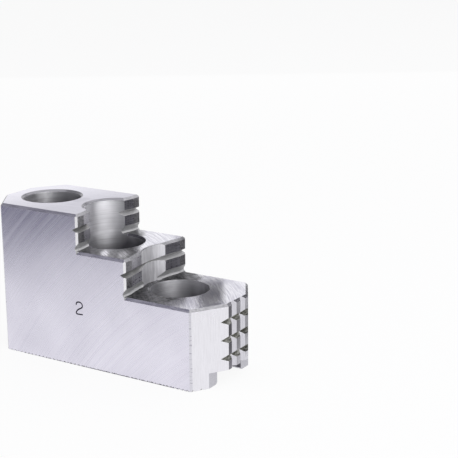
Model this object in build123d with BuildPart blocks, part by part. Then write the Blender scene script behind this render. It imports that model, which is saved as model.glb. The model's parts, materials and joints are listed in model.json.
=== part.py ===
from build123d import *
from math import acos, degrees, radians, sqrt, tan
import os

os.makedirs("parts", exist_ok=True)

# Bolt row along the jaw, in millimetres: the ends and the walls are placed from it
bolt_pitch = 25.4
tall_end_to_bolt = 14.9
low_end_to_bolt = 21.6
upper_wall_to_bolt = 1.7
lower_wall_to_bolt = 8.8

# Stepped block
width = 33.7
low_step_height = 26.0
middle_step_rise = 12.0
tall_step_rise = 12.0
tall_flat_width = 12.4
tall_bevel_length = 7.3
low_flat_width = 11.5
low_bevel_length = 6.7
edge_chamfer = 0.8
wall_side_chamfer = 0.6
corner_chamfer = 0.4

# Counterbored bolt holes
bolt_hole_radius = 6.5
counterbore_radius = 9.5
seat_height = 15.0
mouth_chamfer = 0.7
recess_margin = 2.4
recess_chamfer = 0.3

# Gripping walls: flat lands at the sides, a hollow between them, a groove and a foot undercut
grip_radius = 57.0
grip_land_width = 3.7
grip_groove_drop = 5.0
grip_groove_opening = 1.9
grip_groove_depth = 1.9
undercut_lip = 2.65
undercut_reach = 1.9
undercut_radius = 0.85

# Gripping teeth on the two end flats
tooth_groove_depth = 1.4
tooth_row_opening = 2.15
tooth_row_pitch = 5.9
first_tooth_row_rise = 3.85
tooth_column_opening = 2.8
tooth_column_spacing = 5.0

# Serrated base with a keyway and set-back feet
keyway_width = 14.0
keyway_depth = 4.9
keyway_chamfer = 0.6
tall_foot_setback = 4.6
low_foot_setback = 3.5
serration_pitch = 1.5
serration_depth = 0.5
serration_angle = 60.0

# How far a cut passes beyond the face that it opens
overrun = 1.0

# Places that follow from the sizes, with the origin under the middle of the jaw
length = tall_end_to_bolt + 2 * bolt_pitch + low_end_to_bolt
tall_end = -length / 2
low_end = length / 2
bolts = [tall_end + tall_end_to_bolt + k * bolt_pitch for k in range(3)]
upper_wall = bolts[1] - upper_wall_to_bolt
lower_wall = bolts[2] - lower_wall_to_bolt
middle_step_height = low_step_height + middle_step_rise
tall_step_height = middle_step_height + tall_step_rise
grip_half_chord = width / 2 - grip_land_width
grip_sag = grip_radius - sqrt(grip_radius**2 - grip_half_chord**2)


def v_section(opening, depth):
    """Corners of a V groove that runs in along +X from a face on the Y axis."""
    spread = opening / 2 * (depth + overrun) / depth
    return (depth, 0), (-overrun, spread), (-overrun, -spread)


def wall_section(face, reach, foot, top):
    """Space in front of a gripping wall that stands at X = face, with its groove and undercut."""
    groove = top - grip_groove_drop
    with BuildSketch(Plane.XZ) as section:
        with BuildLine():
            Polyline(
                (face + reach, foot),
                (face - undercut_reach, foot),
                (face, foot + undercut_lip),
                (face, groove - grip_groove_opening / 2),
                (face - grip_groove_depth, groove),
                (face, groove + grip_groove_opening / 2),
                (face, top - edge_chamfer),
                (face - edge_chamfer - overrun, top + overrun),
                (face + reach, top + overrun),
                close=True,
            )
        make_face()
        fillet(section.vertices().group_by(Axis.Y)[0].sort_by(Axis.X)[0], undercut_radius)
    return section.sketch


def cut_gripping_wall(face, foot, top):
    """Cut the flat lands of a wall straight across, then turn the hollow between them."""
    hollow = face - grip_sag
    hollow_axis = Axis((hollow + grip_radius, 0, 0), (0, 0, 1))
    lands = wall_section(face, overrun, foot, top)
    extrude(lands, amount=width, both=True, mode=Mode.SUBTRACT)
    revolve(wall_section(hollow, grip_radius, foot, top), axis=hollow_axis, mode=Mode.SUBTRACT)


def cut_mouth(bolt, top, radius, size, arc=360):
    """Chamfer the mouth of a bore, all round or over an arc that is centred on +X."""
    with Locations((bolt, 0, top - size)):
        Cone(
            radius,
            radius + size,
            size,
            arc_size=arc,
            rotation=(0, 0, -arc / 2),
            align=None,
            mode=Mode.SUBTRACT,
        )


def cut_tooth_grid(end, turn, top):
    """Cross an end flat with level and upright V grooves that run in at the given turn."""
    first_row = keyway_depth + first_tooth_row_rise
    row_space = top - edge_chamfer - tooth_row_opening / 2 - first_row
    rows = int(row_space / tooth_row_pitch) + 1
    with BuildSketch(Plane.XZ) as row_section:
        for row in range(rows):
            with Locations((end, first_row + row * tooth_row_pitch)):
                Polygon(*v_section(tooth_row_opening, tooth_groove_depth), rotation=turn)
    extrude(row_section.sketch, amount=width, both=True, mode=Mode.SUBTRACT)
    with BuildSketch(Plane.XY.offset(keyway_depth)) as column_section:
        for side in (-1, 1):
            with Locations((end, side * tooth_column_spacing / 2)):
                Polygon(*v_section(tooth_column_opening, tooth_groove_depth), rotation=turn)
    extrude(column_section.sketch, amount=top, mode=Mode.SUBTRACT)


with BuildPart() as chuck_jaw:
    # Plan outline: parallel sides that bevel to a narrow flat at each end
    with BuildSketch() as outline:
        with BuildLine():
            Polyline(
                (tall_end, 0),
                (tall_end, tall_flat_width / 2),
                (tall_end + tall_bevel_length, width / 2),
                (low_end - low_bevel_length, width / 2),
                (low_end, low_flat_width / 2),
                (low_end, 0),
            )
            mirror(about=Plane.XZ)
        make_face()
        side_corners = outline.vertices().group_by(Axis.Y)
        chamfer(side_corners[0] + side_corners[-1], corner_chamfer)
    extrude(amount=tall_step_height)

    # Side profile: three steps down to the low end
    with BuildSketch(Plane.XZ):
        with BuildLine():
            Polyline(
                (tall_end, 0),
                (tall_end, tall_step_height),
                (upper_wall, tall_step_height),
                (upper_wall, middle_step_height),
                (lower_wall, middle_step_height),
                (lower_wall, low_step_height),
                (low_end, low_step_height),
                (low_end, 0),
                close=True,
            )
        make_face()
    extrude(amount=width, both=True, mode=Mode.INTERSECT)

    # Chamfers round the step tops and down the sides of the two walls
    step_tops = chuck_jaw.faces().filter_by(Axis.Z).sort_by(Axis.Z)[1:]
    long_rims = step_tops.edges().filter_by(Axis.Y, reverse=True)
    cross_rims = step_tops.edges().filter_by(Axis.Y).sort_by(Axis.X)
    chamfer(long_rims + [cross_rims[0], cross_rims[-1]], edge_chamfer)
    walls = chuck_jaw.faces().filter_by(Axis.X).sort_by(Axis.X)[1:-1]
    chamfer(walls.edges().filter_by(Axis.Z), wall_side_chamfer)

    # Gripping walls, each with its groove, foot undercut and chamfered top edge
    cut_gripping_wall(upper_wall, middle_step_height, tall_step_height)
    cut_gripping_wall(lower_wall, low_step_height, middle_step_height)

    # Bolt holes: the middle counterbore also cuts a half round into the upper wall
    for bolt, top in zip(bolts, (tall_step_height, middle_step_height, low_step_height)):
        with Locations((bolt, 0, top)):
            CounterBoreHole(bolt_hole_radius, counterbore_radius, top - seat_height)

    # Recess in the lower wall, round the low bolt's head
    recess_radius = counterbore_radius + recess_margin
    with BuildSketch(Plane.XY.offset(low_step_height)):
        with Locations((bolts[2], 0)):
            Circle(recess_radius)
    extrude(amount=middle_step_rise, mode=Mode.SUBTRACT)

    # Chamfered mouths, on the middle bore's floor and half round alike; the low bore's stays sharp
    open_arc = 2 * degrees(acos(-upper_wall_to_bolt / counterbore_radius))
    cut_mouth(bolts[0], tall_step_height, counterbore_radius, mouth_chamfer)
    cut_mouth(bolts[1], tall_step_height, counterbore_radius, mouth_chamfer)
    cut_mouth(bolts[1], middle_step_height, counterbore_radius, mouth_chamfer, open_arc)
    cut_mouth(bolts[2], middle_step_height, recess_radius, recess_chamfer)

    # Grids of gripping teeth, run in from the tall end and from the low end
    cut_tooth_grid(tall_end, 0, tall_step_height)
    cut_tooth_grid(low_end, 180, low_step_height)

    # Keyway along the base, with broken mouth edges
    with BuildSketch(Plane.YZ.offset(tall_end)):
        Rectangle(keyway_width, keyway_depth, align=(Align.CENTER, Align.MIN))
    extrude(amount=length, mode=Mode.SUBTRACT)
    base_edges = chuck_jaw.edges().filter_by(Axis.X).group_by(Axis.Z)[0]
    chamfer(base_edges.sort_by(lambda edge: abs(edge.center().Y))[:2], keyway_chamfer)

    # Feet set back from the end flats, up to the roof of the keyway
    with BuildSketch():
        for end, setback in ((tall_end, tall_foot_setback), (low_end, low_foot_setback)):
            with Locations((end, 0)):
                Rectangle(2 * setback, width + overrun)
    extrude(amount=keyway_depth, mode=Mode.SUBTRACT)

    # Serrations across both feet
    serrated_length = length - tall_foot_setback - low_foot_setback
    serrated_middle = (tall_foot_setback - low_foot_setback) / 2
    serration_opening = 2 * serration_depth * tan(radians(serration_angle / 2))
    with BuildSketch(Plane.XZ):
        with Locations((serrated_middle, 0)):
            with GridLocations(serration_pitch, 1, int(serrated_length / serration_pitch), 1):
                Polygon(*v_section(serration_opening, serration_depth), rotation=90)
    extrude(amount=width, both=True, mode=Mode.SUBTRACT)

chuck_jaw.part.label = "chuck_jaw"
export_step(chuck_jaw.part, "parts/chuck_jaw.step")
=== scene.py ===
import json
from math import hypot, pi, radians

import bpy
from mathutils import Matrix, Vector

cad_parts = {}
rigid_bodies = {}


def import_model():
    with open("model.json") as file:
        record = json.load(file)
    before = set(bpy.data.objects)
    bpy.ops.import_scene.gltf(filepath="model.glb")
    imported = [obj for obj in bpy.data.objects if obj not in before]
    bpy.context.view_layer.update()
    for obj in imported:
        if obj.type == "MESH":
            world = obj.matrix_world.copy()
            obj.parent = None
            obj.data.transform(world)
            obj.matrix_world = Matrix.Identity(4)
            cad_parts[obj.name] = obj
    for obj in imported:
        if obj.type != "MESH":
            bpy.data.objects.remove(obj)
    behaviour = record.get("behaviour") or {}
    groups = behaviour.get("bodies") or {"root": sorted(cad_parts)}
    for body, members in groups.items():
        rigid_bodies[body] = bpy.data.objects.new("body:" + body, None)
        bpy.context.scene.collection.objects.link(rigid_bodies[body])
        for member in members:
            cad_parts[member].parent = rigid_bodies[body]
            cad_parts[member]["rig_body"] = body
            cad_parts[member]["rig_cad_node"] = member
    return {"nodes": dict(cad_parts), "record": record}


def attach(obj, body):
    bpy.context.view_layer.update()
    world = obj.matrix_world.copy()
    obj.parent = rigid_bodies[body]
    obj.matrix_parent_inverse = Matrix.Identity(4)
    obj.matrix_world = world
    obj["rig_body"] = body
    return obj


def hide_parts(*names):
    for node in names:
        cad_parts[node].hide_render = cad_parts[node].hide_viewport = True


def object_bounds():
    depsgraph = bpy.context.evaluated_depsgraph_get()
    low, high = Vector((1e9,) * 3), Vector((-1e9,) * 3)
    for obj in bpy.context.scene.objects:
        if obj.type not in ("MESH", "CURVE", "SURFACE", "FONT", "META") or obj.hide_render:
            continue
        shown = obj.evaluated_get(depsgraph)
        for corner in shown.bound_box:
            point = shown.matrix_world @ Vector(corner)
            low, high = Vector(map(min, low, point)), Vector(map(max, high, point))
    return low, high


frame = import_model()
cad_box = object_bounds()

# Places and sizes of the jaw as the frame gives them, in metres
mounts = {mount["name"]: mount for mount in frame["record"]["mounts"]}
HALF_LENGTH, HALF_WIDTH, TALL_STEP = (round(reach, 5) for reach in cad_box[1])
MIDDLE_STEP = mounts["middle_step_seat"]["pos_m"][2]
LOW_STEP = mounts["low_step_seat"]["pos_m"][2]
UPPER_WALL = mounts["upper_grip"]["pos_m"][0]
LOWER_WALL = mounts["lower_grip"]["pos_m"][0]
TALL_BOLT = mounts["tall_head_bore"]["pos_m"][0]
MIDDLE_BOLT = mounts["middle_head_bore"]["pos_m"][0]
LOW_BOLT = mounts["low_head_bore"]["pos_m"][0]
BORE_RADIUS = mounts["low_head_bore"]["dims"]["r_mm"] / 1000
SEAT_HEIGHT = mounts["inner_bolt_pair"]["pos_m"][2]
KEYWAY_DEPTH = mounts["keyway"]["pos_m"][2]

# Smaller sizes, by which one finish is parted from another, in metres
EDGE_CHAMFER = 0.0008
WALL_SIDE_CHAMFER = 0.0006
MOUTH_CHAMFER = 0.0007
RECESS_MARGIN = 0.0024
UNDERCUT_LIP = 0.00265
SERRATION_DEPTH = 0.0005
# Half the keyway with its broken mouth edges
KEYWAY_HALF_MOUTH = 0.0076
# The longer end bevel with its broken corner
END_BEVEL = 0.0077
# Room for the hollow, the groove and the undercut of a gripping wall
WALL_DEPTH = 0.0040
# How far a face may lie from its place and still be taken for it
SLACK = 0.0001

# Radius to which every edge looks rounded
EDGE_ROUNDING = 0.00012

# Where the values of a noise mostly lie
NOISE_SPAN = (0.35, 0.65)


# Nodes

class Nodes:
    """The nodes of a material or a world, added one by one."""

    def __init__(self, owner):
        owner.use_nodes = True
        self.tree = owner.node_tree

    def feed(self, socket, value):
        """Link a socket to an output, or set it to a plain number, vector or colour."""
        if isinstance(value, bpy.types.NodeSocket):
            self.tree.links.new(value, socket)
        elif socket.type == "RGBA":
            socket.default_value = (*value, 1)
        else:
            socket.default_value = value

    def add(self, kind, inputs=(), **settings):
        """Add a node with its settings and its inputs by name or number, and give its outputs."""
        node = self.tree.nodes.new(kind)
        for name, setting in settings.items():
            setattr(node, name, setting)
        for socket, value in dict(inputs).items():
            self.feed(node.inputs[socket], value)
        return node.outputs

    def math(self, operation, *values):
        return self.add("ShaderNodeMath", enumerate(values), operation=operation)[0]

    def vectors(self, operation, *values):
        return self.add("ShaderNodeVectorMath", enumerate(values), operation=operation)

    def split(self, vector):
        return self.add("ShaderNodeSeparateXYZ", {0: vector})

    def bundle(self, x, y, z=0):
        return self.add("ShaderNodeCombineXYZ", enumerate((x, y, z)))[0]

    def blend(self, first, second, share):
        """A share of the first value, and the second for the rest."""
        rest = self.math("MULTIPLY", second, 1 - share)
        return self.math("ADD", self.math("MULTIPLY", first, share), rest)

    def spread(self, value, span=NOISE_SPAN, to=(0, 1), curve="LINEAR"):
        """Bring one span of values to another, and hold what lies beyond at its ends."""
        inputs = zip(("Value", "From Min", "From Max", "To Min", "To Max"), (value, *span, *to))
        return self.add("ShaderNodeMapRange", inputs, interpolation_type=curve)["Result"]

    def mix(self, value, first, second):
        """From the first colour at 0 to the second at 1."""
        inputs = {"Factor": value, "A": first, "B": second}
        return self.add("ShaderNodeMix", inputs, data_type="RGBA")["Result"]

    def mix_shaders(self, value, first, second):
        return self.add("ShaderNodeMixShader", enumerate((value, first, second)))[0]


class Finish(Nodes):
    """A material: its plain colour and roughness show wherever its patterns can't be read."""

    def __init__(self, name, colour, roughness, metallic=1.0):
        self.material = bpy.data.materials.new(name)
        super().__init__(self.material)
        self.shader = self.tree.nodes["Principled BSDF"]
        self.give("Base Color", colour)
        self.give("Roughness", roughness)
        self.give("Metallic", metallic)
        self.place = self.add("ShaderNodeTexCoord")["Object"]

    def give(self, name, value):
        self.feed(self.shader.inputs[name], value)

    def stretched(self, x, y, z):
        """The place on the jaw, crowded along each axis by a factor."""
        return self.add("ShaderNodeMapping", {"Vector": self.place, "Scale": (x, y, z)})["Vector"]

    def noise(self, vector, scale=1.0, detail=3.0, rough=0.6):
        inputs = {"Vector": vector, "Scale": scale, "Detail": detail, "Roughness": rough}
        return self.add("ShaderNodeTexNoise", inputs)["Fac"]

    def wheel_marks(self, centre, plane, across, along, detail=3.0, rough=0.6):
        """Marks left by a wheel: arcs round its centre, narrow across and drawn out along."""
        from_centre = self.split(self.vectors("SUBTRACT", self.place, centre)["Vector"])
        first, second = (from_centre[axis] for axis in plane)
        squares = self.math("ADD", self.math("MULTIPLY", first, first), self.math("MULTIPLY", second, second))
        distance = self.math("MULTIPLY", self.math("SQRT", squares), across)
        angle = self.math("MULTIPLY", self.math("ARCTAN2", second, first), along)
        return self.noise(self.bundle(distance, angle), detail=detail, rough=rough)

    def end_grain(self):
        """Fine upright grain, as on the ends."""
        return self.noise(self.stretched(3400, 3400, 240), detail=4, rough=0.7)

    def distance_along(self, direction):
        """How far the place lies along a direction."""
        return self.vectors("DOT_PRODUCT", self.place, direction)["Value"]

    def height_on_wall(self):
        """Height on either gripping wall, told as on the lower one."""
        return self.math("WRAP", self.split(self.place)["Z"], MIDDLE_STEP - SLACK, LOW_STEP - SLACK)

    def spot(self, centre, half_sizes, turn, strength):
        """A soft spot in plan: its strength in the middle, nothing at its edge."""
        any_height = 1e6
        inputs = {
            "Vector": self.place,
            "Location": (*centre, 0),
            "Rotation": (0, 0, turn),
            "Scale": (*half_sizes, any_height),
        }
        inside = self.add("ShaderNodeMapping", inputs, vector_type="TEXTURE")["Vector"]
        return self.spread(self.vectors("LENGTH", inside)["Value"], (0, 1), (strength, 0))

    def tint(self, value, dark, light):
        """Colour the steel from dark to light."""
        self.give("Base Color", self.mix(value, dark, light))

    def roughen(self, noise, low, high):
        """Let a noise set the roughness."""
        self.give("Roughness", self.spread(noise, to=(low, high)))

    def relief(self, height, depth):
        """Bump on top of slightly rounded edges."""
        rounded = self.add("ShaderNodeBevel", {"Radius": EDGE_ROUNDING}, samples=6)["Normal"]
        bump = self.add("ShaderNodeBump", {"Distance": depth, "Height": height, "Normal": rounded})
        self.give("Normal", bump["Normal"])

    def draw_out(self, amount):
        """Draw highlights out upright, across a level lay."""
        self.give("Anisotropic", amount)
        self.give("Tangent", self.bundle(0, 0, 1))

    def lay_grain(self, noise, dark, light, rough, depth, span=NOISE_SPAN):
        """Let one noise set the colour, the roughness and the relief."""
        self.tint(self.spread(noise, span), dark, light)
        self.roughen(noise, *rough)
        self.relief(noise, depth)


# Finishes

def side_ground_steel():
    """Broad sides: curved lay of a cup wheel, lower left to upper right."""
    finish = Finish("side_ground_steel", (0.74, 0.72, 0.80), 0.30)
    wheel = (0.105, 0, -0.085)
    fine = finish.wheel_marks(wheel, "XZ", 3200, 1.5, detail=4, rough=0.7)
    broad = finish.wheel_marks(wheel, "XZ", 620, 1.3)
    cloud = finish.noise(finish.place, scale=50, rough=0.5)
    lay = finish.blend(fine, broad, 0.6)
    mixed = finish.spread(finish.blend(lay, cloud, 0.65), (0.38, 0.62))
    bare = finish.mix(mixed, (0.66, 0.641, 0.735), (0.82, 0.80, 0.895))
    # Painted shade: a dark line over the last hair's breadth above the serrations, broken up, and less
    # towards the tall end
    x, _, z = finish.split(finish.place)
    drops = finish.noise(finish.stretched(1300, 0, 0), detail=1)
    uneven = finish.math("ADD", z, finish.spread(drops, (0.38, 0.62), (-0.00012, 0.00026)))
    height = finish.math("ADD", uneven, finish.spread(x, (-0.034, 0.004), (0.00018, 0)))
    finish.tint(finish.spread(height, (0.00022, 0.00034)), (0.12, 0.115, 0.15), bare)
    finish.roughen(lay, 0.22, 0.36)
    finish.relief(lay, 0.000016)
    return finish.material


def top_ground_steel():
    """Top of the tall step: bright surface grinding along the jaw, with painted shading: darker towards the
    upper wall, lighter at the tall end.
    """
    finish = Finish("top_ground_steel", (0.74, 0.725, 0.79), 0.16)
    wheel = (0.02, -0.25, 0)
    fine = finish.wheel_marks(wheel, "XY", 3600, 20, detail=4, rough=0.7)
    broad = finish.wheel_marks(wheel, "XY", 500, 10)
    lay = finish.blend(fine, broad, 0.6)
    # Painted shading: darker towards the upper wall, lighter at the tall end
    painted_shading = finish.spread(finish.distance_along((1, -0.5, 0)), (-0.040, -0.012), (0.35, -0.40))
    mixed = finish.math("ADD", finish.spread(lay, to=(0.3, 0.7)), painted_shading)
    # A darker spot between the tall bore and the half round
    mixed = finish.math("SUBTRACT", mixed, finish.spot((-0.0170, 0.0005), (0.0030, 0.0045), 0, 0.5))
    finish.tint(mixed, (0.50, 0.487, 0.56), (0.90, 0.885, 0.965))
    finish.roughen(lay, 0.12, 0.22)
    finish.relief(lay, 0.000015)
    return finish.material


def shoulder_ground_steel():
    """Chamfers round the step tops: darker than the ground faces that they part."""
    finish = Finish("shoulder_ground_steel", (0.50, 0.49, 0.56), 0.28)
    marks = finish.noise(finish.stretched(220, 220, 2600), rough=0.65)
    finish.lay_grain(marks, (0.28, 0.27, 0.34), (0.42, 0.41, 0.487), rough=(0.22, 0.34), depth=0.000005)
    return finish.material


def painted_highlight_spots(finish):
    """Painted highlights: bright spots on the two lower floors, and glints at the low bore's rim."""
    across_arcs = 0.598
    # The middle, half sizes and strength of each
    spots = (
        ((0.0031, -0.0134), (0.0017, 0.0056), 1.7),
        ((0.0088, -0.0113), (0.0022, 0.0062), 1.5),
        ((0.0200, 0.0156), (0.0020, 0.0026), 2.0),
        ((0.0238, 0.0100), (0.0009, 0.0018), 2.2),
        ((0.0296, 0.0064), (0.0006, 0.0015), 2.6),
        ((0.0135, -0.0049), (0.0005, 0.0030), 1.0),
    )
    painted_highlights = 0
    for centre, half_sizes, strength in spots:
        painted_highlights = finish.math("MAXIMUM", painted_highlights, finish.spot(centre, half_sizes, across_arcs, strength))
    return painted_highlights


def painted_shade_spots(finish):
    """Painted shade: darker spots of the low floor, one behind the bore and one at the low end."""
    behind_bore = finish.spot((0.0292, 0.0122), (0.0042, 0.0052), -0.6, 0.8)
    at_low_end = finish.spot((0.0402, -0.0074), (0.0012, 0.0044), -0.585, 1.2)
    return finish.math("ADD", behind_bore, at_low_end)


def floor_ground_steel():
    """Floors of the two lower steps: strong wheel arcs, and a dark band towards each wall, partly unground
    skin and partly painted reflection of the dark walls.
    """
    finish = Finish("floor_ground_steel", (0.66, 0.65, 0.70), 0.20)
    painted_highlights = painted_highlight_spots(finish)
    painted_shading = painted_shade_spots(finish)
    # The middle floor takes the same marks as the low one, about a wall's distance back
    x, y, z = finish.split(finish.place)
    middle = finish.math("GREATER_THAN", z, (LOW_STEP + MIDDLE_STEP) / 2)
    back = finish.math("MULTIPLY", middle, finish.math("MULTIPLY_ADD", y, 0.36, 0.0176))
    finish.place = finish.bundle(finish.math("ADD", x, back), y)
    wheel = (-0.078, -0.107, 0)
    fine = finish.wheel_marks(wheel, "XY", 2300, 16, detail=4, rough=0.7)
    broad = finish.wheel_marks(wheel, "XY", 420, 12)
    arcs = finish.blend(fine, broad, 0.65)
    cloud = finish.noise(finish.place, scale=130)
    flecks = finish.noise(finish.place, scale=900, detail=2)
    # The wheel runs out in a ragged line, and between it and the wall the dark skin stays, partly painted
    # reflection of the dark walls
    ragged = finish.spread(cloud, (0.3, 0.7), (-0.002, 0.002))
    reach = finish.math("ADD", finish.distance_along((1, 0.30, 0)), ragged)
    ground = finish.spread(reach, (0.0225, 0.0258))
    scraped = finish.spread(arcs, (0.40, 0.62), (0, 0.7))
    pale = finish.math("ADD", scraped, finish.spread(flecks, (0.40, 0.60), (-0.35, 0.30)))
    pale = finish.math("MULTIPLY_ADD", middle, 0.40, pale)
    skin = finish.mix(pale, (0.06, 0.059, 0.063), (0.29, 0.286, 0.30))
    # Painted shade darkens the wheel marks in two spots
    bright = finish.math("SUBTRACT", finish.spread(arcs, (0.43, 0.57)), painted_shading)
    marks = finish.mix(bright, (0.60, 0.59, 0.67), (0.92, 0.91, 0.955))
    # Painted highlights: the spots lift the floor towards near white
    painted_highlight_share = finish.math("MULTIPLY", painted_highlights, finish.spread(fine, (0.42, 0.56), (0.25, 1)))
    finish.tint(painted_highlight_share, finish.mix(ground, skin, marks), (0.94, 0.93, 0.96))
    finish.give("Roughness", finish.spread(ground, (0, 1), (0.34, 0.18)))
    finish.relief(arcs, 0.00002)
    return finish.material


def end_ground_steel():
    """End bevels: fine upright grain."""
    finish = Finish("end_ground_steel", (0.80, 0.79, 0.82), 0.28)
    grain = finish.end_grain()
    patch = finish.noise(finish.place, scale=60, detail=2)
    finish.tint(finish.spread(grain), (0.77, 0.76, 0.805), (0.85, 0.84, 0.89))
    finish.roughen(patch, 0.24, 0.36)
    finish.relief(grain, 0.000004)
    return finish.material


def flank_ground_steel():
    """Flanks of the upright tooth grooves and the chamfer above them: the grain of the ends, in darker steel.
    """
    finish = Finish("flank_ground_steel", (0.66, 0.65, 0.70), 0.28)
    marks = finish.end_grain()
    finish.lay_grain(marks, (0.60, 0.59, 0.64), (0.72, 0.71, 0.765), rough=(0.24, 0.34), depth=0.000004)
    return finish.material


def flat_ground_steel():
    """Narrow end flats that the teeth are cut in: painted shade at the near edge, painted light at the far
    one.
    """
    finish = Finish("flat_ground_steel", (0.58, 0.57, 0.625), 0.26)
    grain = finish.end_grain()
    patch = finish.noise(finish.place, scale=160, detail=2)
    mixed = finish.spread(finish.blend(grain, patch, 0.5), to=(-0.15, 0.15))
    # Painted shade at the near edge and painted light at the far one
    across = finish.spread(finish.split(finish.place)["Y"], (-0.005, 0.005))
    finish.tint(finish.math("ADD", mixed, across), (0.17, 0.165, 0.19), (0.84, 0.83, 0.89))
    finish.roughen(patch, 0.22, 0.32)
    finish.relief(grain, 0.000004)
    return finish.material


def dull_milled_steel():
    """Notches of the gripping teeth: dull, with an olive tint from the heat."""
    finish = Finish("dull_milled_steel", (0.38, 0.38, 0.35), 0.40)
    marks = finish.noise(finish.stretched(400, 400, 2600), rough=0.65)
    dark, light = (0.20, 0.20, 0.178), (0.56, 0.56, 0.52)
    finish.lay_grain(marks, dark, light, rough=(0.32, 0.48), depth=0.000008, span=(0.38, 0.62))
    return finish.material


def hollow_ground_steel():
    """Hollows of the gripping walls: lay that follows the wall round, with painted light that makes the near
    side brighter.
    """
    finish = Finish("hollow_ground_steel", (0.42, 0.41, 0.46), 0.30, metallic=0.8)
    finish.draw_out(0.6)
    rings = finish.noise(finish.stretched(120, 120, 3800), detail=4, rough=0.7)
    upright = finish.noise(finish.stretched(900, 900, 60))
    mixed = finish.blend(rings, upright, 0.65)
    # Painted light: brighter at the near side, darker at the far one
    across = finish.spread(finish.split(finish.place)["Y"], (-0.010, 0.010), (0.8, 0.2))
    shade = finish.math("ADD", finish.spread(mixed, to=(-0.2, 0.2)), across)
    finish.tint(shade, (0.18, 0.175, 0.20), (0.48, 0.47, 0.52))
    finish.roughen(mixed, 0.24, 0.36)
    finish.relief(rings, 0.00001)
    return finish.material


def land_hardened_steel():
    """Flat lands beside the hollows: dark, speckled skin left from hardening."""
    finish = Finish("land_hardened_steel", (0.40, 0.39, 0.41), 0.36, metallic=0.85)
    speck = finish.noise(finish.place, scale=2600, rough=0.7)
    cloud = finish.noise(finish.place, scale=260, detail=2)
    mixed = finish.spread(finish.blend(speck, cloud, 0.6), (0.38, 0.64), (-0.4, 0.4))
    # Painted light and shade: paler at the near side and towards the top
    across = finish.spread(finish.split(finish.place)["Y"], (-0.015, 0.015), (0.5, 0.2))
    upward = finish.spread(finish.height_on_wall(), (0.028, 0.036), (-0.25, 0.05))
    shade = finish.math("ADD", mixed, finish.math("ADD", across, upward))
    finish.tint(shade, (0.18, 0.176, 0.19), (0.68, 0.67, 0.70))
    finish.roughen(speck, 0.26, 0.42)
    finish.relief(speck, 0.00002)
    return finish.material


def groove_hardened_steel():
    """Grooves of the gripping walls, which no wheel reaches: a grey tint from the heat."""
    finish = Finish("groove_hardened_steel", (0.38, 0.375, 0.36), 0.45, metallic=0.4)
    drawn = finish.noise(finish.stretched(300, 300, 2600))
    cloud = finish.noise(finish.place, scale=240, detail=2)
    mixed = finish.blend(drawn, cloud, 0.5)
    # Painted light: paler towards the far side
    across = finish.spread(finish.split(finish.place)["Y"], (-0.003, 0.008), (0.3, 0.8))
    shade = finish.math("ADD", finish.spread(mixed, to=(-0.2, 0.2)), across)
    finish.tint(shade, (0.19, 0.188, 0.185), (0.58, 0.577, 0.585))
    finish.roughen(mixed, 0.40, 0.54)
    finish.relief(drawn, 0.00001)
    return finish.material


def undercut_milled_steel():
    """Foot undercuts: a matt grey left by a small cutter, with a painted highlight at the very foot."""
    finish = Finish("undercut_milled_steel", (0.50, 0.50, 0.49), 0.55, metallic=0.35)
    drawn = finish.noise(finish.stretched(300, 300, 2600))
    cloud = finish.noise(finish.place, scale=300, detail=2)
    mixed = finish.blend(drawn, cloud, 0.5)
    # Painted highlight: paler along the very foot
    foot = finish.spread(finish.height_on_wall(), (0.0263, 0.0270), (0.45, 0))
    shade = finish.math("ADD", finish.spread(mixed, to=(0, 0.3)), foot)
    finish.tint(shade, (0.32, 0.32, 0.323), (0.72, 0.72, 0.73))
    finish.roughen(mixed, 0.48, 0.62)
    finish.relief(drawn, 0.00001)
    return finish.material


def corner_broken_steel():
    """Upright corners between the sides and the end bevels, broken with a stone that left dark dots."""
    finish = Finish("corner_broken_steel", (0.66, 0.65, 0.71), 0.32)
    dots = finish.noise(finish.stretched(300, 300, 1500), detail=2)
    dark, light = (0.42, 0.41, 0.46), (0.70, 0.69, 0.75)
    finish.lay_grain(dots, dark, light, rough=(0.26, 0.38), depth=0.000006, span=(0.34, 0.46))
    return finish.material


def crest_ground_steel():
    """Chamfered top edges of the gripping walls."""
    finish = Finish("crest_ground_steel", (0.62, 0.61, 0.65), 0.34)
    marks = finish.noise(finish.place, scale=1400, rough=0.65)
    finish.lay_grain(marks, (0.32, 0.315, 0.335), (0.51, 0.505, 0.53), rough=(0.28, 0.40), depth=0.000006)
    return finish.material


def painted_shade_in_bores(finish, cloud, before_middle):
    """Painted shade that darkens each bore with depth, and more towards the low end than towards the tall
    one.
    """
    x, y, z = finish.split(finish.place)
    before_low = finish.math("LESS_THAN", x, (MIDDLE_BOLT + LOW_BOLT) / 2)
    # Where the painted shade begins: at one height in the low bore, and higher in the middle one and in the
    # tall one
    top = finish.math("MULTIPLY_ADD", before_middle, 0.0095, 0.023)
    top = finish.math("MULTIPLY_ADD", before_low, 0.015, top)
    depth = finish.math("MULTIPLY_ADD", cloud, 0.002, finish.math("SUBTRACT", top, z))
    half_pitch = (LOW_BOLT - MIDDLE_BOLT) / 2
    from_bolt = finish.math("WRAP", finish.math("SUBTRACT", x, MIDDLE_BOLT), half_pitch, -half_pitch)
    sideways = finish.math("MULTIPLY_ADD", y, 0.6, from_bolt)
    to_low_end = finish.spread(sideways, (-0.009, 0.004), (-0.78, 0.42))
    return finish.math("ADD", finish.spread(depth, (-0.002, 0.009)), to_low_end)


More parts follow.
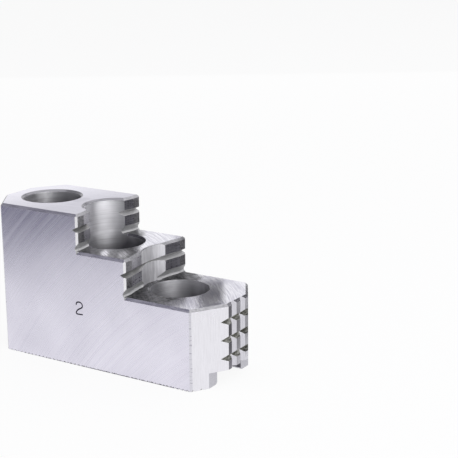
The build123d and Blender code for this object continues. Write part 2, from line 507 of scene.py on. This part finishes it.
def bore_turned_steel():
    """Bores and seats: rings left by the cutter, with painted shade deeper in."""
    finish = Finish("bore_turned_steel", (0.70, 0.695, 0.73), 0.42)
    finish.draw_out(0.6)
    rings = finish.noise(finish.stretched(60, 60, 4200), rough=0.65)
    cloud = finish.noise(finish.place, scale=120, detail=2)
    mixed = finish.spread(finish.blend(rings, cloud, 0.6), (0.38, 0.62))
    bare = finish.mix(mixed, (0.66, 0.655, 0.68), (0.90, 0.895, 0.925))
    x, _, z = finish.split(finish.place)
    before_middle = finish.math("LESS_THAN", x, (TALL_BOLT + MIDDLE_BOLT) / 2)
    # Painted shade: darker deeper in each bore and on its side towards the low end
    finish.tint(painted_shade_in_bores(finish, cloud, before_middle), bare, (0.15, 0.147, 0.163))
    # The open half round in the upper wall is the roughest
    above_floor = finish.math("GREATER_THAN", z, MIDDLE_STEP)
    half_round = finish.math("MULTIPLY", above_floor, finish.math("SUBTRACT", 1, before_middle))
    rough = finish.math("MULTIPLY_ADD", half_round, 0.12, finish.spread(rings, to=(0.36, 0.50)))
    finish.give("Roughness", rough)
    finish.relief(rings, 0.000012)
    return finish.material


def recess_milled_steel():
    """Round recess by the low bore's head: pale, with fine upright marks."""
    finish = Finish("recess_milled_steel", (0.86, 0.855, 0.88), 0.54, metallic=0.85)
    marks = finish.noise(finish.stretched(1500, 1500, 160), rough=0.65)
    finish.lay_grain(marks, (0.70, 0.695, 0.72), (0.86, 0.855, 0.88), rough=(0.48, 0.60), depth=0.000006)
    return finish.material


def rim_chamfered_steel():
    """Chamfered mouths of the bores: fine rings."""
    finish = Finish("rim_chamfered_steel", (0.62, 0.61, 0.65), 0.26)
    rings = finish.noise(finish.stretched(60, 60, 5200), rough=0.65)
    finish.lay_grain(rings, (0.24, 0.236, 0.258), (0.36, 0.355, 0.382), rough=(0.20, 0.32), depth=0.000008)
    return finish.material


def strip_ground_steel():
    """Narrow chamfers down the sides of the gripping walls: bright and bare."""
    finish = Finish("strip_ground_steel", (0.86, 0.85, 0.88), 0.22)
    marks = finish.noise(finish.stretched(1200, 1200, 200))
    finish.lay_grain(marks, (0.80, 0.79, 0.82), (0.90, 0.89, 0.92), rough=(0.18, 0.28), depth=0.000004)
    return finish.material


def base_milled_steel():
    """Crests of the serrations, roof of the keyway and foot pockets: cutter lines along the cut."""
    finish = Finish("base_milled_steel", (0.46, 0.455, 0.50), 0.38)
    lines = finish.noise(finish.stretched(200, 2600, 2600), rough=0.65)
    finish.lay_grain(lines, (0.46, 0.455, 0.50), (0.62, 0.615, 0.66), rough=(0.30, 0.46), depth=0.000012)
    return finish.material


def oil_and_painted_shade_steel():
    """Flanks of the base serrations and walls of the keyway, black: painted shade for the shadow that stays
    in them.
    """
    finish = Finish("oil_and_painted_shade_steel", (0.08, 0.078, 0.09), 0.36)
    lines = finish.noise(finish.stretched(2600, 200, 2600), rough=0.65)
    finish.lay_grain(lines, (0.05, 0.048, 0.06), (0.14, 0.137, 0.155), rough=(0.28, 0.46), depth=0.000008)
    return finish.material


def stamped_steel():
    """Walls of the stamped number, dark from the skin that stays in it."""
    finish = Finish("stamped_steel", (0.04, 0.035, 0.055), 0.60)
    speck = finish.noise(finish.place, scale=3000, detail=2)
    finish.tint(finish.spread(speck), (0.018, 0.015, 0.030), (0.060, 0.052, 0.085))
    finish.relief(speck, 0.00001)
    return finish.material


FINISHES = {
    "side": side_ground_steel,
    "top": top_ground_steel,
    "shoulder": shoulder_ground_steel,
    "floor": floor_ground_steel,
    "end": end_ground_steel,
    "flank": flank_ground_steel,
    "flat": flat_ground_steel,
    "dull": dull_milled_steel,
    "hollow": hollow_ground_steel,
    "land": land_hardened_steel,
    "groove": groove_hardened_steel,
    "undercut": undercut_milled_steel,
    "corner": corner_broken_steel,
    "crest": crest_ground_steel,
    "bore": bore_turned_steel,
    "recess": recess_milled_steel,
    "rim": rim_chamfered_steel,
    "strip": strip_ground_steel,
    "base": base_milled_steel,
    "oiled": oil_and_painted_shade_steel,
    "stamp": stamped_steel,
}


# Which face takes which finish

def upright(face):
    return abs(face.normal.z) < 0.05


def sloped_up(face):
    return 0.5 < face.normal.z < 0.9


def level(face):
    return face.normal.z > 0.9


def at_end(face):
    """Among the teeth and bevels of either end."""
    return abs(face.center.x) > HALF_LENGTH - END_BEVEL - SLACK


def from_axis(face, axis):
    """How far a face lies from an upright axis on the bolt row."""
    return hypot(face.center.x - axis, face.center.y)


def looks_in(face, axis):
    """How squarely a face looks in at an upright axis on the bolt row: 1 is straight at it."""
    across = face.normal.x * (face.center.x - axis) + face.normal.y * face.center.y
    return -across / max(from_axis(face, axis), 1e-9)


def bore_finish(face):
    """Walls, seats and chamfered mouths of the bolt holes; the middle bore's mouth in the floor holds oil."""
    for bolt in (TALL_BOLT, MIDDLE_BOLT, LOW_BOLT):
        reach = from_axis(face, bolt)
        if upright(face) and reach < BORE_RADIUS + SLACK and looks_in(face, bolt) > 0.95:
            return "bore"
        if sloped_up(face) and reach < BORE_RADIUS + MOUTH_CHAMFER + SLACK and looks_in(face, bolt) > 0.5:
            return "rim" if face.center.z > MIDDLE_STEP + SLACK else "oiled"
    return "bore" if level(face) and abs(face.center.z - SEAT_HEIGHT) < SLACK else None


def base_finish(face):
    """Serrations, keyway and the pockets where the feet are set back."""
    _, y, z = face.center
    normal = face.normal
    in_keyway = abs(y) < KEYWAY_HALF_MOUTH + SLACK
    # Serration flanks and keyway walls take black steel as painted shade
    if z < SERRATION_DEPTH + SLACK and abs(normal.y) < 0.3:
        return "oiled" if abs(normal.x) > 0.3 and abs(normal.z) > 0.3 else "base"
    if z < KEYWAY_DEPTH and abs(normal.y) > 0.9 and in_keyway:
        return "oiled"
    if z < KEYWAY_DEPTH + SLACK and (normal.z < -0.3 or in_keyway or abs(normal.x) > 0.99):
        return "base"
    return None


def step_finish(face):
    """Tops of the three steps, and the chamfers round them."""
    x, y, z = face.center
    normal = face.normal
    if level(face):
        return "top" if z > TALL_STEP - SLACK else "floor"
    at_side = abs(y) > HALF_WIDTH - EDGE_CHAMFER - SLACK
    if z > LOW_STEP - EDGE_CHAMFER and sloped_up(face) and normal.x < 0.65 and (at_side or at_end(face)):
        if x > 0 and 0.2 < normal.y < 0.66:
            return "end"
        return "shoulder" if abs(normal.y) > 0.66 else "crest"
    return None


def side_finish(face):
    """Broad sides, and the chamfers that end them at the bevels and at the walls."""
    x, y, z = face.center
    if abs(face.normal.y) > 0.97 and abs(y) > HALF_WIDTH - SLACK:
        return "side"
    if upright(face) and abs(face.normal.x) > 0.3 and abs(y) > HALF_WIDTH - WALL_SIDE_CHAMFER - SLACK:
        if at_end(face):
            return "corner"
        foot = LOW_STEP if x > 0 else MIDDLE_STEP
        return "strip" if z > foot + UNDERCUT_LIP else "undercut"
    return None


def recess_finish(face):
    """The round recess in the lower wall."""
    on_recess = abs(from_axis(face, LOW_BOLT) - BORE_RADIUS - RECESS_MARGIN) < 3 * SLACK
    if LOW_STEP < face.center.z < MIDDLE_STEP and on_recess and looks_in(face, LOW_BOLT) > 0.97:
        return "recess"
    return None


def wall_finish(face):
    """Lands, hollows, grooves, foot undercuts and crests of the two gripping walls."""
    x, _, z = face.center
    normal = face.normal
    for wall, foot, top in ((UPPER_WALL, MIDDLE_STEP, TALL_STEP), (LOWER_WALL, LOW_STEP, MIDDLE_STEP)):
        if not (wall - WALL_DEPTH < x < wall + SLACK and foot < z < top):
            continue
        if z > top - EDGE_CHAMFER - SLACK and sloped_up(face) and normal.x > 0.3:
            return "crest"
        if normal.x > 0.999 and abs(x - wall) < SLACK / 2:
            return "land"
        if upright(face) and normal.x > 0.5:
            return "hollow"
        if not upright(face) and normal.x > 0.1:
            return "undercut" if z < foot + UNDERCUT_LIP else "groove"
    return None


def end_finish(face):
    """End flats and bevels, and the teeth that are cut in them."""
    x, _, z = face.center
    normal = face.normal
    if not at_end(face):
        return None
    if abs(normal.x) > 0.99:
        return "flat"
    if abs(normal.z) > 0.6:
        top = LOW_STEP if x > 0 else TALL_STEP
        return "flank" if z > top - EDGE_CHAMFER - SLACK else "dull"
    return "flank" if abs(normal.y) > 0.65 else "end"


def finish_of(face):
    """Name the finish of a face of the jaw by its place and the way it faces."""
    for area in (bore_finish, base_finish, step_finish, side_finish, recess_finish, wall_finish, end_finish):
        name = area(face)
        if name:
            return name
    return "side"


# The jaw

def pick_only(piece):
    """Deselect everything, then make this piece the selected and active one."""
    bpy.ops.object.select_all(action="DESELECT")
    piece.select_set(True)
    bpy.context.view_layer.objects.active = piece


def hold_finishes(piece, materials):
    """Give a piece one material slot for each finish, in one order for all pieces."""
    piece.data.materials.clear()
    for name in FINISHES:
        piece.data.materials.append(materials[name])


def assign_finish(piece, name, wanted):
    """Give one finish to the faces for which wanted(face) holds."""
    bpy.ops.object.mode_set(mode="EDIT")
    bpy.ops.mesh.select_mode(type="FACE")
    bpy.ops.mesh.select_all(action="DESELECT")
    bpy.ops.object.mode_set(mode="OBJECT")
    for face in piece.data.polygons:
        face.select = wanted(face)
    bpy.ops.object.mode_set(mode="EDIT")
    piece.active_material_index = list(FINISHES).index(name)
    bpy.ops.object.material_slot_assign()
    bpy.ops.object.mode_set(mode="OBJECT")


def take_jaw_copy(node):
    """A welded copy of the jaw, ready for its stamp and its finishes."""
    pick_only(node)
    bpy.ops.object.duplicate()
    jaw = bpy.context.active_object
    jaw.name = "ground_jaw"
    bpy.ops.object.parent_clear(type="CLEAR_KEEP_TRANSFORM")
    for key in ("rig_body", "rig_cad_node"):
        del jaw[key]
    bpy.ops.mesh.customdata_custom_splitnormals_clear()
    bpy.ops.object.mode_set(mode="EDIT")
    bpy.ops.mesh.select_all(action="SELECT")
    bpy.ops.mesh.remove_doubles(threshold=1e-6)
    bpy.ops.object.mode_set(mode="OBJECT")
    return jaw


def make_stamp():
    """The number 2 as one round-bottomed stroke that lies half in the side face."""
    # Points along the stroke, as distances from the jaw's middle and above its base, in millimetres
    points = (
        (-6.40, 20.55), (-6.38, 21.15), (-5.70, 21.62), (-4.65, 21.62), (-3.82, 20.95), (-4.00, 19.90),
        (-5.15, 19.40), (-6.00, 18.80), (-6.52, 18.05), (-6.37, 17.52), (-5.25, 17.56), (-3.85, 17.62),
    )
    stroke_radius = 0.00023
    outside_face = 0.00004
    curve = bpy.data.curves.new("stamp_two", "CURVE")
    curve.dimensions = "3D"
    curve.bevel_depth = stroke_radius
    curve.bevel_resolution = 2
    curve.resolution_u = 6
    curve.use_fill_caps = True
    stroke = curve.splines.new("NURBS")
    stroke.points.add(len(points) - 1)
    for point, (x, z) in zip(stroke.points, points):
        point.co = (x / 1000, -HALF_WIDTH - outside_face, z / 1000, 1)
    stroke.order_u = 3
    stroke.use_endpoint_u = True
    stamp = bpy.data.objects.new("stamp_two", curve)
    bpy.context.scene.collection.objects.link(stamp)
    pick_only(stamp)
    bpy.ops.object.convert(target="MESH")
    return bpy.context.active_object


def press_stamp(jaw, stamp):
    """Cut the stroke into the side face, which takes the stamp's finish there."""
    pick_only(jaw)
    cut = jaw.modifiers.new("stamp", "BOOLEAN")
    cut.operation = "DIFFERENCE"
    cut.solver = "EXACT"
    cut.use_self = True
    cut.material_mode = "TRANSFER"
    cut.object = stamp
    bpy.ops.object.modifier_apply(modifier=cut.name)
    bpy.data.objects.remove(stamp)


def lay_finishes(jaw):
    """Give each face its finish, smooth the round ones and keep every machined edge crisp."""
    stamp_slot = list(FINISHES).index("stamp")
    faces = jaw.data.polygons
    named = ["stamp" if face.material_index == stamp_slot else finish_of(face) for face in faces]
    pick_only(jaw)
    for name in FINISHES:
        assign_finish(jaw, name, lambda face: named[face.index] == name)
    bpy.ops.object.shade_smooth_by_angle(angle=radians(10))


def make_ground_jaw():
    """The jaw with its stamped number and its finishes."""
    materials = {name: make() for name, make in FINISHES.items()}
    jaw = take_jaw_copy(frame["nodes"]["chuck_jaw"])
    stamp = make_stamp()
    for piece in (jaw, stamp):
        hold_finishes(piece, materials)
    assign_finish(stamp, "stamp", lambda face: True)
    press_stamp(jaw, stamp)
    lay_finishes(jaw)
    return jaw


# Studio

def whiteness(floor):
    """How white the camera sees the floor: shadows show a little, and in full only well under the jaw."""
    well_under = 0.030
    x, y, _ = floor.split(floor.place)
    near_ends = floor.math("GREATER_THAN", floor.math("ABSOLUTE", x), well_under)
    past_sides = floor.math("GREATER_THAN", floor.math("ABSOLUTE", y), HALF_WIDTH - SLACK / 2)
    return floor.math("MULTIPLY", floor.math("MAXIMUM", near_ends, past_sides), 0.9)


def painted_sheen(floor):
    """Painted reflection: a glow that only the steel sees, white, but a dim blue far to the left, and dimmer
    far off and past the low end.
    """
    to_right = floor.spread(floor.distance_along((1, 0.8, 0)), (-0.27, -0.15))
    hue = floor.mix(to_right, (0.20, 0.20, 0.28), (1, 1, 1))
    from_jaw = floor.vectors("LENGTH", floor.place)["Value"]
    from_spot = floor.vectors("DISTANCE", floor.place, (0.072, 0.036, 0))["Value"]
    near_light = floor.spread(from_jaw, (0.16, 0.50), (1.0, 0.35), "SMOOTHSTEP")
    spot_light = floor.spread(from_spot, (0.010, 0.038), (0.40, 1.0), "SMOOTHSTEP")
    strength = floor.math("MULTIPLY", near_light, spot_light)
    return floor.add("ShaderNodeEmission", {"Color": hue, "Strength": strength})[0]


def pale_floor():
    """Pale stuff that takes the jaw's shadow, and glows white for the camera and, as a painted reflection, in
    the steel.
    """
    floor = Finish("pale_floor", (0.80, 0.80, 0.81), 0.8, metallic=0)
    rays = floor.add("ShaderNodeLightPath")
    white = floor.add("ShaderNodeEmission")[0]
    for_camera = floor.math("MULTIPLY", rays["Is Camera Ray"], whiteness(floor))
    seen = floor.mix_shaders(for_camera, floor.shader.outputs[0], white)
    # Glossy rays see the painted reflection instead of the lit floor
    surface = floor.mix_shaders(rays["Is Glossy Ray"], seen, painted_sheen(floor))
    floor.feed(floor.tree.nodes["Material Output"].inputs["Surface"], surface)
    return floor.material


def lay_floor(material):
    """A broad floor, a hair under the serrations so that they don't lie in it."""
    under_serrations = -0.00002
    bpy.ops.mesh.primitive_plane_add(size=6, location=(0, 0, under_serrations))
    floor = bpy.context.active_object
    floor.name = "studio_floor"
    floor.data.materials.append(material)


def light_world(level):
    """Even room light, with white behind the floor for the camera."""
    world = bpy.data.worlds.new("studio")
    bpy.context.scene.world = world
    nodes = Nodes(world)
    room = nodes.tree.nodes["Background"]
    nodes.feed(room.inputs["Color"], (level, level, level * 1.03))
    backdrop = nodes.add("ShaderNodeBackground", {"Color": (1, 1, 1)})[0]
    rays = nodes.add("ShaderNodeLightPath")
    surface = nodes.mix_shaders(rays["Is Camera Ray"], room.outputs[0], backdrop)
    nodes.feed(nodes.tree.nodes["World Output"].inputs["Surface"], surface)


def hang_softbox(name, place, size, brightness, aim=(0, 0, 0.025)):
    """A rectangular softbox that faces the jaw; a brightness of 1 is white in a mirror."""
    light = bpy.data.lights.new(name, "AREA")
    light.shape = "RECTANGLE"
    light.size, light.size_y = size
    light.energy = brightness * pi * size[0] * size[1]
    lamp = bpy.data.objects.new(name, light)
    bpy.context.scene.collection.objects.link(lamp)
    lamp.location = place
    lamp.rotation_euler = (Vector(aim) - Vector(place)).to_track_quat("-Z", "Y").to_euler()
    lamp.visible_camera = False


def stand_flag(name, card, away, reach, aside, width, heights):
    """A card that only the steel mirrors: it faces the jaw's middle line from some way off, shifted aside."""
    bpy.ops.mesh.primitive_plane_add(size=1)
    flag = bpy.context.active_object
    flag.name = name
    away = Vector((*away, 0))
    along = Vector((away.y, -away.x, 0))
    bottom, top = heights
    place = away * reach + along * aside + Vector((0, 0, (bottom + top) / 2))
    turn = Matrix((along, Vector((0, 0, 1)), -away)).transposed().to_4x4()
    flag.matrix_world = Matrix.Translation(place) @ turn @ Matrix.Diagonal((width, top - bottom, 1, 1))
    flag.data.materials.append(card)
    flag.visible_camera = False
    flag.visible_shadow = False
    flag.visible_diffuse = False


def stand_flags():
    """Cards behind the jaw, for the darker bands in its bores, walls and chamfers."""
    dark = Finish("dark_card", (0.05, 0.048, 0.055), 0.9, metallic=0).material
    grey = Finish("grey_card", (0.55, 0.54, 0.58), 0.9, metallic=0).material
    past_low_end = (0.6, 0.8)
    past_tall_end = (-0.6, 0.8)
    stand_flag("low_flag", dark, past_low_end, 0.070, aside=0.011, width=0.036, heights=(0, 0.020))
    stand_flag("high_flag", dark, past_low_end, 0.070, aside=0.004, width=0.050, heights=(0.020, 0.078))
    stand_flag("band_flag", dark, past_tall_end, 0.035, aside=0.0308, width=0.009, heights=(0.0385, 0.0515))
    stand_flag("sill_flag", dark, past_tall_end, 0.035, aside=0.0225, width=0.008, heights=(0.0375, 0.0425))
    stand_flag("pale_flag", grey, past_tall_end, 0.036, aside=0.0225, width=0.008, heights=(0.0425, 0.0475))


def set_camera(place, tilt, roll, heading, lens):
    """The photograph's viewpoint, with its turns in degrees and its lens in millimetres."""
    data = bpy.data.cameras.new("photo_camera")
    data.lens = lens
    data.sensor_width = 36
    data.clip_start, data.clip_end = 0.01, 20
    camera = bpy.data.objects.new("photo_camera", data)
    bpy.context.scene.collection.objects.link(camera)
    camera.location = place
    camera.rotation_euler = (radians(tilt), radians(roll), radians(heading))
    bpy.context.scene.camera = camera


# Putting it together

jaw = make_ground_jaw()
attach(jaw, "root")
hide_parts("chuck_jaw")

lay_floor(pale_floor())
light_world(level=0.55)
stand_flags()
hang_softbox("back_left_softbox", place=(-0.40, 0.55, 0.20), size=(0.90, 0.40), brightness=0.42)
hang_softbox("right_softbox", place=(0.62, -0.06, 0.16), size=(0.40, 0.30), brightness=1.8)
hang_softbox("front_right_softbox", place=(0.50, -0.30, 0.42), size=(0.26, 0.60), brightness=2.4)
hang_softbox(
    "overhead_softbox",
    place=(0.35, 0.20, 0.75),
    size=(1.40, 2.00),
    brightness=0.6,
    aim=(0.35, 0.20, 0),
)
set_camera(place=(0.22394, -0.29518, 0.13820), tilt=75.4228, roll=0.2886, heading=31.8014, lens=93.18)
bpy.context.scene.view_settings.view_transform = "Standard"
